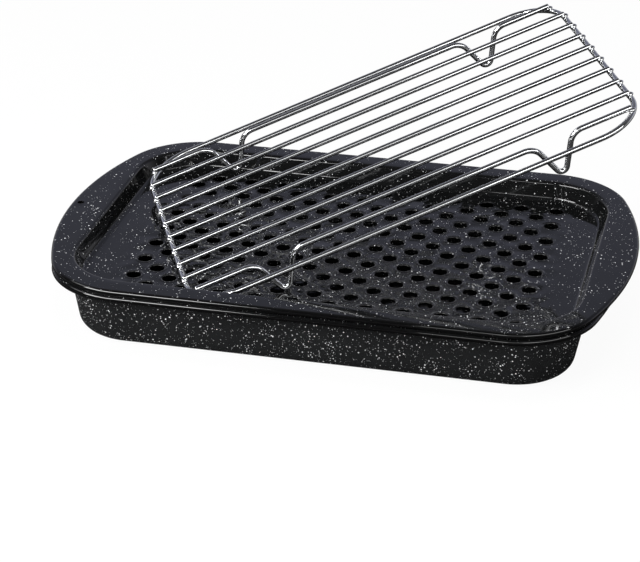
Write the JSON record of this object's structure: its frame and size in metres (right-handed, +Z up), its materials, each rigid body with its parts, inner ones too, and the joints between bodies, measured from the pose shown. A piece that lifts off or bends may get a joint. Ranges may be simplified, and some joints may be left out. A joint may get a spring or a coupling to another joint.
{
  "type": "roasting pan with rack",
  "caption": "Black speckled enamel roasting pan with a perforated broiling tray hung in its rim and a plated wire rack with bent feet leaning in the tray.",
  "frame": {"origin": "middle of the pan's flat bottom", "axes": "+Z up, X along the pan from handle to handle, -Y towards the long side that faces the viewer"},
  "size_m": [0.4628, 0.3694, 0.1865],
  "materials": {
    "speckled_enamel": "glossy black porcelain enamel with fine white specks",
    "plated_wire": "bright plated round wire"
  },
  "bodies": {
    "pan": {"roasting_pan": "speckled_enamel"},
    "tray": {"broiling_tray": "speckled_enamel"},
    "rack": {"rack_frame": "plated_wire", "rack_wire_1": "plated_wire", "rack_wire_2": "plated_wire", "rack_wire_3": "plated_wire", "rack_wire_4": "plated_wire", "rack_wire_5": "plated_wire", "rack_wire_6": "plated_wire", "rack_wire_7": "plated_wire", "rack_wire_8": "plated_wire", "rack_foot_wire_front": "plated_wire", "rack_foot_wire_back": "plated_wire"}
  },
  "joints": [
    {"name": "tray_lift", "type": "slide", "parent": "pan", "child": "tray", "axis": [0, 0, 1], "range_m": [0, 0.06]},
    {"name": "rack_lift", "type": "slide", "parent": "tray", "child": "rack", "axis": [0, 0, 1], "range_m": [0, 0.06]}
  ]
}
